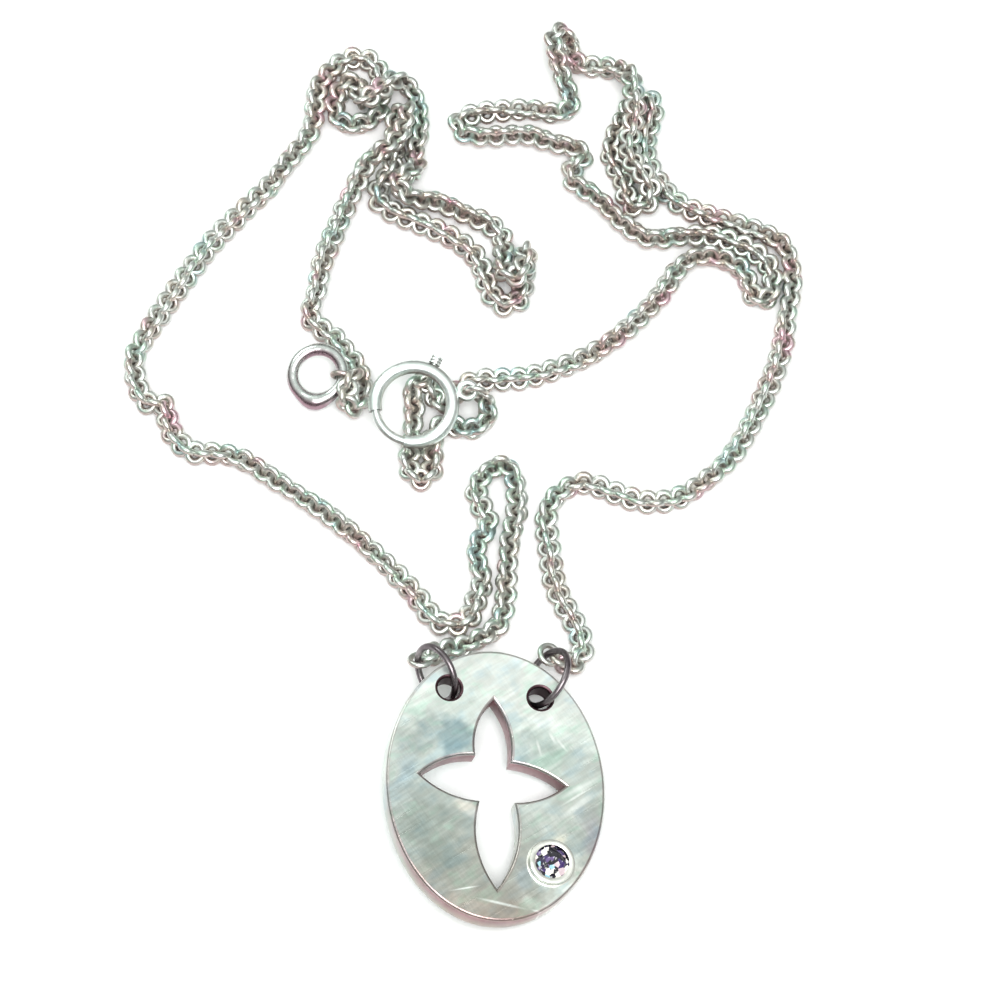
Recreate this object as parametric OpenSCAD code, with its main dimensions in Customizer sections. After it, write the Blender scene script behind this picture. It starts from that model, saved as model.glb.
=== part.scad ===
// Cross necklace, unclasped and lying loose on a flat surface: an oval plate pendant with a pierced
// cross and a small set stone, two jump rings, two chain halves, a plain end ring and a spring ring
// clasp. Millimetres. +Z is up from the surface, +Y runs from the pendant towards the chain's far end.

/* [Pendant plate] */
// Width of the oval plate
plate_w = 16.4; // [15.6:0.1:16.8]
// Height of the oval plate, towards the jump rings
plate_h = 20.9; // [20.2:0.1:21.2]
// Thickness of the plate
plate_t = 1.8; // [1.6:0.1:1.9]
// Diameter of the two drilled holes for the jump rings
hole_d = 1.7; // [1.6:0.05:1.8]
// Distance across between the two drilled holes
hole_spacing = 6.87; // [6.84:0.01:6.9]
// Height of the left drilled hole above the plate's middle
hole_up = 7.3; // [7.25:0.05:7.35]

/* [Pierced cross] */
// Reach of the upper arm above the plate's middle
cross_top = 6.6; // [6.2:0.1:6.7]
// Reach of the lower arm below the plate's middle
cross_bottom = 8; // [7.6:0.1:8.2]
// Reach of the left arm
cross_left = 5.65; // [5.3:0.05:5.8]
// Reach of the right arm
cross_right = 5.2; // [5:0.05:5.4]

/* [Stone and bezel] */
// Diameter of the round stone at its girdle
stone_d = 2.7; // [2.6:0.05:2.75]
// Outer diameter of the bezel
bezel_d = 3.4; // [3.3:0.05:3.5]
// Height of the bezel above the plate's face
bezel_h = 0.5; // [0.45:0.05:0.6]

/* [Rings] */
// Wire diameter of the two jump rings
jump_wire = 0.5; // [0.45:0.05:0.5]
// Diameter of the left jump ring along its wire's centre line
jump_left_d = 4.3; // [4.2:0.1:4.4]
// Diameter of the right jump ring along its wire's centre line
jump_right_d = 4.6; // [4.55:0.05:4.65]
// Wire diameter of the plain end ring
end_wire = 0.95; // [0.9:0.05:0.95]
// Diameter of the plain end ring along its wire's centre line
end_ring_d = 3.95; // [3.9:0.05:4]

/* [Chain] */
// Outer diameter of the chain
chain_d = 1.5; // [1.4:0.05:1.5]
// Wire diameter of a chain link
link_wire = 0.45; // [0.4:0.01:0.45]
// Diameter of the round link at three ends of the chain halves, along its wire's centre line
end_link_d = 1.5; // [1.45:0.05:1.5]
// Diameter of the round link that holds the end ring, along its wire's centre line
ring_link_d = 1.7; // [1.65:0.05:1.7]

/* [Spring ring clasp] */
// Outer diameter of the clasp's ring
clasp_d = 7; // [6.9:0.05:7]
// Diameter of the clasp's tube
clasp_tube_d = 1.05; // [1:0.05:1.05]
// Bore of the clasp's tube
clasp_bore_d = 0.74; // [0.72:0.01:0.76]
// Diameter of the gate rod that slides in the bore
gate_d = 0.64; // [0.6:0.01:0.64]
// Diameter of the knob that the gate is pulled back by
knob_d = 0.9; // [0.8:0.05:0.9]

/* [Lie of the pieces] */
// Lean of the plate, its left side up, in degrees
plate_lean = 12; // [12:0.5:13]
// Pitch of the plate, its upper end up, in degrees
plate_pitch = 2; // [2:0.5:2.5]
// Turn of the plate on the surface, in degrees
plate_turn = 1.1; // [1:0.1:1.2]
// Tilt of the end ring, its far side up, in degrees
end_ring_tilt = 12; // [11.5:0.5:12]
// Lean of the end ring, its right side up, in degrees
end_ring_lean = 8; // [8:0.5:8.5]
// Tilt of the clasp, its far side up, in degrees
clasp_tilt = 12; // [11.5:0.5:12]

/* [Hidden] */
$fn = 48;

// Middle of the lying necklace, which the origin sits under
middle = [0, 1.3];
cut_past = 0.5;

// The plate's own frame has its origin at the middle of its thickness
plate_centre = [2.29, -26.43, 2.62];
face = plate_t / 2;
oval_sides = 96;
arc_steps = 8;

// Corners between the cross's arms, from the plate's middle
corner_upper_left = [-1.5, 2.2];
corner_upper_right = [1.1, 1.75];
corner_lower_right = [1.4, -1.3];
corner_lower_left = [-1.2, -1.3];
tip_top = [-0.1, cross_top];
tip_right = [cross_right, 0.2];
tip_bottom = [0, -cross_bottom];
tip_left = [-cross_left, 0.5];

// How far each edge of an arm bulges out from the straight line between a corner and a tip
bulge_top = 0.55;
bulge_right = 0.35;
bulge_bottom = 0.82;
bulge_left = 0.45;

// The right drilled hole is a little lower than the left one
hole_left_x = -3.45;
hole_drop = 0.35;
holes = [[hole_left_x, hole_up], [hole_left_x + hole_spacing, hole_up - hole_drop]];

// The stone's heights are measured from the plate's face
stone_centre = [4, -5.85];
stone_gap = 0.04;
facets = 8;
girdle_low = 0.2;
girdle_high = 0.28;
table_up = 0.66;
table_d = 0.56 * stone_d;
culet_down = 0.75;
lip_start = 0.32;
lip_inset = 0.12;
seat_point_r = 0.25;

jump_left_centre = [-1.98, -17.65, 3.34];
jump_left_normal = [-0.76, -0.52, 0.39];
jump_right_centre = [6.21, -17.55, 2.26];
jump_right_normal = [0.73, -0.22, -0.65];
end_ring_centre = [-11.33, 8.33, 1.16];

// The end ring's wire swells outwards around the angle where it is soldered shut
solder_at = 262;
solder_reach = 45;
solder_swell = 0.2;
ring_steps = 48;
ring_sides = 12;

// Each end link has a centre and a normal. It holds a ring, and a tapered chain end joins its far side.
link_at_left_jump = [-3.23, -16.13, 2.36];
link_at_left_jump_normal = [0.05, 0.55, 0.83];
link_at_right_jump = [6.43, -15.38, 1.64];
link_at_right_jump_normal = [0.43, 0.05, 0.9];
link_at_end_ring = [-9.32, 8.04, 1.4];
link_at_end_ring_normal = [0.14, 0.97, 0.2];
link_at_clasp = [0.97, 5.94, 2.75];
link_at_clasp_normal = [0.14, 0.99, 0];
taper_end_r = 0.4;
tube_sides = 8;

// The chain halves' routes as seen from above, each point with its height over the lying chain
left_route = [
    [-2.7, -15.7, 1.2], [-1.6, -14.9, 0.6], [-0.4, -14.5, 0.1], [2.5, -12.8, 0], [3.1, -11, 0],
    [3.3, -8, 0], [3.6, -5, 0], [4, -3.4, 0], [3.8, -0.2, 0], [3.1, 0.7, 0], [1.9, 0.2, 0],
    [1.1, -0.8, 0], [1, -2.2, 0], [1.7, -3.4, 0], [1.8, -4.6, 0], [1.1, -5.8, 0], [1, -7.2, 0],
    [1.5, -8.8, 0], [1, -10.2, 0], [0.7, -11.5, 0], [-0.1, -12.4, 0], [-1.3, -12.6, 0],
    [-2.4, -11.9, 0], [-3.5, -10.3, 0], [-5.3, -8.2, 0], [-8, -5.5, 0], [-10.4, -3.4, 0],
    [-12.5, -1.9, 0], [-14.6, -0.4, 0], [-17, 1.2, 0], [-18.8, 1.7, 0], [-20.6, 1.8, 0],
    [-22.1, 2.9, 0], [-22.8, 4.4, 0], [-23.1, 5.8, 0], [-24.6, 6.2, 0], [-25.6, 9.8, 0],
    [-24.8, 11.8, 0], [-23.4, 14.4, 0], [-21.6, 17.4, 0], [-19.8, 20.2, 0], [-17.4, 23, 0],
    [-15.3, 25.4, 0], [-13.9, 27.6, 0], [-12.7, 29.3, 0], [-12.1, 31, 0], [-11.7, 34.3, 0],
    [-9.6, 36.7, 0], [-8.2, 36.9, 0], [-7.1, 36, 0], [-6.8, 33, 0], [-7.1, 31.6, 0], [-8.5, 30.8, 0],
    [-9.8, 31, 0], [-10.4, 32.1, 0], [-10.2, 33.5, 0], [-9.4, 34.6, 0], [-8.5, 34.2, 0.2],
    [-8.4, 33, 0.6], [-7.9, 32.3, 1.5], [-6.8, 33, 1.7], [-5.8, 34.1, 1.3], [-4.9, 34.5, 0.3],
    [-4.1, 33.4, 0], [-3.6, 31.8, 0], [-3.6, 30, 0], [-4, 28.4, 0], [-3.9, 26.9, 0.4],
    [-4.4, 25.6, 1.4], [-5.3, 24.9, 1.7], [-5, 24, 1.6], [-3.8, 23.7, 0.6], [-2.4, 23.8, 0],
    [0.3, 22.5, 0], [1.8, 21.8, 0], [2.9, 20.6, 0], [3, 17.4, 1], [3.4, 16.4, 1.5], [4.3, 16.3, 1.8],
    [4.7, 17.3, 1.8], [4.7, 18.3, 1.5], [4.8, 18.8, 0.7], [4.7, 17.9, 0], [4.2, 15, 0],
    [3.2, 14.5, 0], [2.2, 15.3, 0], [1, 18.6, 0], [-0.4, 20.1, 0], [-2.4, 21.3, 0], [-5.8, 22.9, 0],
    [-6.8, 23.8, 0], [-6.8, 25.1, 0], [-6, 26.3, 0], [-5.7, 27.6, 0], [-5.6, 30.4, 0],
    [-5.4, 31.6, 0.5], [-4.7, 31.3, 1.3], [-4.8, 30.1, 1.7], [-5.2, 28.8, 1.6], [-6.4, 27.7, 1.6],
    [-7.7, 26.7, 1], [-8.5, 25.4, 0.3], [-9.4, 23.4, 0], [-10.4, 20.6, 0], [-11.2, 18.2, 0],
    [-11.6, 15.6, 0], [-12.1, 13.8, 0], [-11.6, 12.8, 0], [-10.4, 12, 0], [-9.6, 11, 0],
    [-8.8, 10, 0], [-8.1, 8.8, 0], [-7.8, 7.4, 0], [-7.9, 6.4, 0], [-8.5, 5.6, 0.3], [-9.15, 5.8, 1],
    [-8.95, 6.7, 1.45], [-8.64, 7.91, 1.16]
];
right_route = [
    [7.2, -15.6, 0.5], [8.1, -15.9, 0.1], [8.8, -15.2, 0], [9, -14.3, 0], [8.6, -13, 0], [7, -9.6, 0],
    [6.6, -7.2, 0], [6.4, -3, 0], [7.4, -1.6, 0], [9.1, -0.8, 0], [12.8, -2.1, 0], [14.6, -2.4, 0],
    [16.8, -1.8, 0], [20.2, 1.1, 0], [21.6, 3.3, 0], [22.8, 5.8, 0], [23.9, 8.4, 0], [24.7, 11, 0],
    [25.1, 13.6, 0], [25.6, 16, 0], [25.6, 18, 0], [25.1, 19.7, 0], [23.7, 20.8, 0], [19.7, 22.3, 0],
    [17.7, 23.1, 0], [16.2, 24.2, 0], [14.5, 27.2, 0], [14.3, 29, 0], [15, 32.2, 0], [14.5, 33.3, 0],
    [13.4, 33, 0], [12.8, 31.6, 0], [11.6, 29, 0], [11.6, 27.7, 0], [12.7, 25.2, 0], [12.8, 24, 0],
    [13.6, 23.1, 0.1], [14.6, 23.7, 0.6], [14.4, 25, 1.3], [13.3, 26.5, 1.4], [13, 28.2, 1.1],
    [13.5, 31.6, 1.6], [13.3, 33.2, 1.7], [13.1, 34.6, 1.3], [12.2, 35.6, 0.4], [10.8, 36.1, 0],
    [9.4, 36.2, 0], [8.5, 37, 0], [8.4, 38.1, 0.2], [7.8, 38.8, 0.8], [7.1, 38, 1.3], [7.6, 35, 1.3],
    [8.4, 32.4, 0], [7.2, 31.8, 0], [5, 32.1, 0], [1, 31.8, 0], [-0.4, 31.2, 0], [-0.5, 30.2, 0],
    [0.8, 29.7, 0], [5, 29.8, 0], [6.6, 29.2, 0], [9.3, 28.1, 0], [8.3, 26, 0], [10.4, 24.1, 0],
    [13, 21.3, 0], [14.6, 20.4, 0], [16.6, 20.6, 0], [18.6, 20.7, 0.1], [20.4, 20.3, 0.2],
    [22.1, 19.6, 0.1], [23.3, 18.7, 0], [24, 17.6, 0], [24, 16.3, 0], [23.7, 15.2, 0], [22.7, 15.2, 0],
    [21.8, 17.5, 0], [20.7, 18.4, 0], [19.2, 18.9, 0], [17.7, 18.6, 0], [16.6, 17.6, 0],
    [15.4, 15.6, 0], [13.9, 13.8, 0], [11.9, 11.8, 0], [9.6, 10.1, 0], [7.2, 9, 0], [4.6, 8.2, 0],
    [0.8, 7.9, 0], [-0.7, 6.9, 0], [-1.9, 5.8, 0.1], [-2.4, 6.8, 0.6], [-3.1, 7.5, 1.2],
    [-3.95, 6.9, 0.9], [-3.85, 5.4, 0.2], [-4.05, 3, 0], [-4.2, 0.6, 0], [-3.7, -0.4, 0],
    [-2.8, -0.3, 0], [-2.4, 0.6, 0], [-2.4, 3.1, 0], [-1.7, 4.1, 0], [0.6, 3.8, 0], [1.5, 4.3, 0.1],
    [1.85, 5.1, 0.65], [1.4, 5.88, 1.39]
];

// The clasp's angles are measured anticlockwise from +X around its middle
clasp_centre = [-3.86, 4.96, 2.7];
clasp_r = (clasp_d - clasp_tube_d) / 2;
body_from = 257;
body_sweep = 293;
gate_from = 60;
gate_sweep = 201;
slot_from = 27;
slot_sweep = 44;
slot_w = 0.5;
slot_depth = 0.75;
knob_at = 64;
knob_stem_d = 0.36;
knob_inner_r = clasp_d / 2 + 0.05;
knob_ridge = 0.12;
knob_groove_d = knob_d - 0.2;
knob_ridges = 3;
eye_at = 15;
eye_from_centre = clasp_d / 2 + 0.75;
eye_d = 1.24;
eye_wire = 0.48;

function unit(v) = v / norm(v);

// Points of a shallow arc from a to b that bulges to the left of that direction
function bulged(a, b, bulge) =
    let (along = b - a, out = unit([-along.y, along.x]))
    [for (i = [0:arc_steps - 1]) let (t = i / arc_steps) a + along * t + out * bulge * 4 * t * (1 - t)];

// Direction of a route at point i, halfway between the stretches before and after it
function heading(route, i) =
    i == 0 ? unit(route[1] - route[0])
    : i == len(route) - 1 ? unit(route[i] - route[i - 1])
    : unit(unit(route[i] - route[i - 1]) + unit(route[i + 1] - route[i]));

// Directions square to the route, carried from point to point so that the tube doesn't twist
function carried(route, i = 0, up = [0, 0, 1]) =
    i == len(route) ? []
    : let (t = heading(route, i), now = unit(up - t * (up * t)))
    concat([now], carried(route, i + 1, now));

function tube_r(i, last) = i == 0 || i == last ? taper_end_r : chain_d / 2;

function tube_points(route) =
    let (ups = carried(route), last = len(route) - 1)
    [for (i = [0:last], k = [0:tube_sides - 1])
        let (a = 360 * k / tube_sides, side = cross(heading(route, i), ups[i]))
        route[i] + tube_r(i, last) * (cos(a) * ups[i] + sin(a) * side)];

function tube_faces(rings) = concat(
    [[for (k = [0:tube_sides - 1]) k]],
    [for (i = [0:rings - 2], k = [0:tube_sides - 1], half = [0, 1])
        let (a = i * tube_sides + k, b = i * tube_sides + (k + 1) % tube_sides)
        half == 0 ? [a, a + tube_sides, b + tube_sides] : [a, b + tube_sides, b]],
    [[for (k = [tube_sides - 1:-1:0]) (rings - 1) * tube_sides + k]]
);

// How far the end ring's wire is thicker than plain at an angle, measured on its radius
function swell(a) =
    let (off = abs(a - solder_at))
    off < solder_reach ? solder_swell * (1 + cos(180 * off / solder_reach)) / 2 : 0;

function end_ring_points() =
    [for (i = [0:ring_steps - 1], k = [0:ring_sides - 1])
        let (a = 360 * i / ring_steps, v = 360 * k / ring_sides, more = swell(a), r = end_wire / 2 + more,
            out = end_ring_d / 2 + more + r * cos(v))
        [out * cos(a), out * sin(a), r * sin(v)]];

function end_ring_faces() =
    [for (i = [0:ring_steps - 1], k = [0:ring_sides - 1], half = [0, 1])
        let (j = (i + 1) % ring_steps, m = (k + 1) % ring_sides,
            a = i * ring_sides + k, b = i * ring_sides + m, c = j * ring_sides + m, d = j * ring_sides + k)
        half == 0 ? [a, b, c] : [a, c, d]];

// Corners of the round stone: a culet, two girdle rings and the table
function stone_points() = concat(
    [[0, 0, -culet_down]],
    [for (z = [girdle_low, girdle_high], i = [0:2 * facets - 1])
        let (a = 180 * i / facets) [stone_d / 2 * cos(a), stone_d / 2 * sin(a), z]],
    [for (k = [0:facets - 1]) let (a = 360 * k / facets) [table_d / 2 * cos(a), table_d / 2 * sin(a), table_up]]
);

function stone_faces() =
    let (n = 2 * facets, low = 1, high = low + n, top = high + n)
    concat(
        [for (i = [0:n - 1]) [0, low + i, low + (i + 1) % n]],
        [for (i = [0:n - 1], half = [0, 1])
            let (j = (i + 1) % n)
            half == 0 ? [low + i, high + i, high + j] : [low + i, high + j, low + j]],
        [for (k = [0:facets - 1]) [high + 2 * k, top + k, high + 2 * k + 1]],
        [for (k = [0:facets - 1]) [high + 2 * k + 1, top + k, top + (k + 1) % facets]],
        [for (k = [0:facets - 1])
            [high + 2 * k + 1, top + (k + 1) % facets, high + (2 * k + 2) % n]],
        [[for (k = [facets - 1:-1:0]) top + k]]
    );

module on_surface() translate([-middle.x, -middle.y, 0]) children();

module at_plate() on_surface() translate(plate_centre) rotate([plate_pitch, plate_lean, plate_turn]) children();

module at_stone() at_plate() translate([stone_centre.x, stone_centre.y, face]) children();

module at_clasp() on_surface() translate(clasp_centre) rotate([clasp_tilt, 0, 0]) children();

// A round ring of wire about a centre, facing along a normal
module ring(centre, normal, d, wire)
    translate(centre)
        rotate([0, acos(unit(normal).z), atan2(normal.y, normal.x)])
            rotate_extrude() translate([d / 2, 0]) circle(d = wire);

// A stretch of a round bar that follows the clasp's ring
module clasp_arc(from, sweep, d)
    rotate([0, 0, from]) rotate_extrude(angle = sweep) translate([clasp_r, 0]) circle(d = d);

module chain_half(route) {
    lying = [for (p = route) p + [0, 0, chain_d / 2]];
    polyhedron(tube_points(lying), tube_faces(len(lying)));
}

module plate_blank()
    linear_extrude(plate_t, center = true)
        polygon([for (i = [0:oval_sides - 1])
            let (a = 360 * i / oval_sides) [plate_w / 2 * cos(a), plate_h / 2 * sin(a)]]);

module cross_cut()
    linear_extrude(plate_t + 2 * cut_past, center = true)
        polygon(concat(
            bulged(corner_upper_right, tip_right, bulge_right),
            bulged(tip_right, corner_lower_right, bulge_right),
            bulged(corner_lower_right, tip_bottom, bulge_bottom),
            bulged(tip_bottom, corner_lower_left, bulge_bottom),
            bulged(corner_lower_left, tip_left, bulge_left),
            bulged(tip_left, corner_upper_left, bulge_left),
            bulged(corner_upper_left, tip_top, bulge_top),
            bulged(tip_top, corner_upper_right, bulge_top)
        ));

// The stone's seat: a cone below the girdle, and a lip that leans in over it
module stone_seat() {
    r = stone_d / 2 + stone_gap;
    low = girdle_low - stone_gap;
    translate([0, 0, -culet_down - 3 * stone_gap])
        cylinder(h = culet_down + 3 * stone_gap + low, r1 = seat_point_r, r2 = r);
    translate([0, 0, low]) cylinder(h = lip_start - low, r = r);
    translate([0, 0, lip_start]) cylinder(h = bezel_h - lip_start, r1 = r, r2 = r - lip_inset);
    translate([0, 0, bezel_h]) cylinder(h = cut_past, r = r - lip_inset);
}

module pendant_plate() color("silver") difference() {
    union() {
        at_plate() plate_blank();
        at_stone() translate([0, 0, -cut_past]) cylinder(h = bezel_h + cut_past, d = bezel_d);
    }
    at_plate() for (hole = holes)
        translate([hole.x, hole.y, -face - cut_past]) cylinder(h = plate_t + 2 * cut_past, d = hole_d);
    at_plate() cross_cut();
    at_stone() stone_seat();
}

module stone() color("darkslateblue") at_stone() polyhedron(stone_points(), stone_faces());

module jump_ring_left() color("silver")
    on_surface() ring(jump_left_centre, jump_left_normal, jump_left_d, jump_wire);

module jump_ring_right() color("silver")
    on_surface() ring(jump_right_centre, jump_right_normal, jump_right_d, jump_wire);

module chain_left() color("lightgray") on_surface() {
    chain_half(left_route);
    ring(link_at_left_jump, link_at_left_jump_normal, end_link_d, link_wire);
    ring(link_at_end_ring, link_at_end_ring_normal, ring_link_d, link_wire);
}

module chain_right() color("lightgray") on_surface() {
    chain_half(right_route);
    ring(link_at_right_jump, link_at_right_jump_normal, end_link_d, link_wire);
    ring(link_at_clasp, link_at_clasp_normal, end_link_d, link_wire);
}

module end_ring() color("silver")
    on_surface() translate(end_ring_centre) rotate([end_ring_tilt, -end_ring_lean, 0])
        polyhedron(end_ring_points(), end_ring_faces());

module clasp_body() color("silver") at_clasp() difference() {
    union() {
        clasp_arc(body_from, body_sweep, clasp_tube_d);
        rotate([0, 0, eye_at]) ring([eye_from_centre, 0, 0], [0, 0, 1], eye_d, eye_wire);
    }
    clasp_arc(body_from - 2, body_sweep + 4, clasp_bore_d);
    rotate([0, 0, slot_from])
        rotate_extrude(angle = slot_sweep)
            translate([clasp_r, -slot_w / 2]) square([slot_depth, slot_w]);
}

module clasp_gate() color("silver") at_clasp() {
    clasp_arc(gate_from, gate_sweep, gate_d);
    rotate([0, 0, knob_at]) rotate([0, 90, 0]) {
        translate([0, 0, clasp_r]) cylinder(h = knob_inner_r - clasp_r + knob_ridge / 2, d = knob_stem_d);
        translate([0, 0, knob_inner_r]) cylinder(h = (2 * knob_ridges - 1) * knob_ridge, d = knob_groove_d);
        for (i = [0:knob_ridges - 1])
            translate([0, 0, knob_inner_r + 2 * i * knob_ridge]) cylinder(h = knob_ridge, d = knob_d);
    }
}

pendant_plate();
stone();
jump_ring_left();
jump_ring_right();
chain_left();
chain_right();
end_ring();
clasp_body();
clasp_gate();
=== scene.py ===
import math
import random

import bpy
from mathutils import Matrix, Vector
from mathutils.geometry import tessellate_polygon


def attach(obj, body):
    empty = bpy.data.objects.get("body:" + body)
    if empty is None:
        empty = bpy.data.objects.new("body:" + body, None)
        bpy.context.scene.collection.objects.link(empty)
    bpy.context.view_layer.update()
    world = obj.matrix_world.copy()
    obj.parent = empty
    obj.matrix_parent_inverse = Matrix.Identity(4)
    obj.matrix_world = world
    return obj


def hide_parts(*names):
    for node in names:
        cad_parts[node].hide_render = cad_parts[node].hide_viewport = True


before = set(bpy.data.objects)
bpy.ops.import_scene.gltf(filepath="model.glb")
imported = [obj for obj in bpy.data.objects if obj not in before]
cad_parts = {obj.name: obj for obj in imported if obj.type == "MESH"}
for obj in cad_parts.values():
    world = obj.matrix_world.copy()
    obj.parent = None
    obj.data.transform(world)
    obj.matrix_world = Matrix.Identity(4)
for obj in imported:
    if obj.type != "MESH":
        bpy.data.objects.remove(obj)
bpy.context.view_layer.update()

MM = 0.001
MIDDLE = Vector((0, 1.3, 0))

# Camera, in the photograph's place
CAMERA_ELEVATION = 65
CAMERA_DISTANCE = 320
CAMERA_TARGET = Vector((2.75, -1.86, 0)) - MIDDLE
MM_PER_PIXEL = 0.0765
SENSOR_WIDTH = 36
IMAGE_WIDTH = 1000

# Chain: its links, and its end links as in the source
LINK_LIFT = 0.71
LINK_WIRE = 0.54
LINK_LENGTH = 1.74
LINK_WIDTH = 1.96
LINK_PITCH = 0.64
# How links are rolled about the strand: to either side, with a slow twist over so many links, and unevenly
LINK_ROLL = 44
TWIST = 24
TWIST_LENGTH = 46
ROLL_WOBBLE = 9
ROUTE_STEP = 0.1
END_LINK_D = 1.5
RING_LINK_D = 1.7
END_LINK_WIRE = 0.45
LINK_STEPS = 18
END_LINK_STEPS = 24
WIRE_SIDES = 8

# The chain halves' routes as seen from above, each point with its height over the lying chain
LEFT_ROUTE = [
    (-2.7, -15.7, 1.2), (-1.6, -14.9, 0.6), (-0.4, -14.5, 0.1), (2.5, -12.8, 0), (3.1, -11, 0),
    (3.3, -8, 0), (3.6, -5, 0), (4, -3.4, 0), (3.8, -0.2, 0), (3.1, 0.7, 0), (1.9, 0.2, 0),
    (1.1, -0.8, 0), (1, -2.2, 0), (1.7, -3.4, 0), (1.8, -4.6, 0), (1.1, -5.8, 0), (1, -7.2, 0),
    (1.5, -8.8, 0), (1, -10.2, 0), (0.7, -11.5, 0), (-0.1, -12.4, 0), (-1.3, -12.6, 0),
    (-2.4, -11.9, 0), (-3.5, -10.3, 0), (-5.3, -8.2, 0), (-8, -5.5, 0), (-10.4, -3.4, 0),
    (-12.5, -1.9, 0), (-14.6, -0.4, 0), (-17, 1.2, 0), (-18.8, 1.7, 0), (-20.6, 1.8, 0),
    (-22.1, 2.9, 0), (-22.8, 4.4, 0), (-23.1, 5.8, 0), (-24.6, 6.2, 0), (-25.6, 9.8, 0),
    (-24.8, 11.8, 0), (-23.4, 14.4, 0), (-21.6, 17.4, 0), (-19.8, 20.2, 0), (-17.4, 23, 0),
    (-15.3, 25.4, 0), (-13.9, 27.6, 0), (-12.7, 29.3, 0), (-12.1, 31, 0), (-11.7, 34.3, 0),
    (-9.6, 36.7, 0), (-8.2, 36.9, 0), (-7.1, 36, 0), (-6.8, 33, 0), (-7.1, 31.6, 0), (-8.5, 30.8, 0),
    (-9.8, 31, 0), (-10.4, 32.1, 0), (-10.2, 33.5, 0), (-9.4, 34.6, 0), (-8.5, 34.2, 0.2),
    (-8.4, 33, 0.6), (-7.9, 32.3, 1.5), (-6.8, 33, 1.7), (-5.8, 34.1, 1.3), (-4.9, 34.5, 0.3),
    (-4.1, 33.4, 0), (-3.6, 31.8, 0), (-3.6, 30, 0), (-4, 28.4, 0), (-3.9, 26.9, 0.4),
    (-4.4, 25.6, 1.4), (-5.3, 24.9, 1.7), (-5, 24, 1.6), (-3.8, 23.7, 0.6), (-2.4, 23.8, 0),
    (0.3, 22.5, 0), (1.8, 21.8, 0), (2.9, 20.6, 0), (3, 17.4, 1), (3.4, 16.4, 1.5), (4.3, 16.3, 1.8),
    (4.7, 17.3, 1.8), (4.7, 18.3, 1.5), (4.8, 18.8, 0.7), (4.7, 17.9, 0), (4.2, 15, 0), (3.2, 14.5, 0),
    (2.2, 15.3, 0), (1, 18.6, 0), (-0.4, 20.1, 0), (-2.4, 21.3, 0), (-5.8, 22.9, 0), (-6.8, 23.8, 0),
    (-6.8, 25.1, 0), (-6, 26.3, 0), (-5.7, 27.6, 0), (-5.6, 30.4, 0), (-5.4, 31.6, 0.5),
    (-4.7, 31.3, 1.3), (-4.8, 30.1, 1.7), (-5.2, 28.8, 1.6), (-6.4, 27.7, 1.6), (-7.7, 26.7, 1),
    (-8.5, 25.4, 0.3), (-9.4, 23.4, 0), (-10.4, 20.6, 0), (-11.2, 18.2, 0), (-11.6, 15.6, 0),
    (-12.1, 13.8, 0), (-11.6, 12.8, 0), (-10.4, 12, 0), (-9.6, 11, 0), (-8.8, 10, 0), (-8.1, 8.8, 0),
    (-7.8, 7.4, 0), (-7.9, 6.4, 0), (-8.5, 5.6, 0.3), (-9.15, 5.8, 1), (-8.95, 6.7, 1.45),
    (-8.64, 7.91, 1.16),
]
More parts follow.
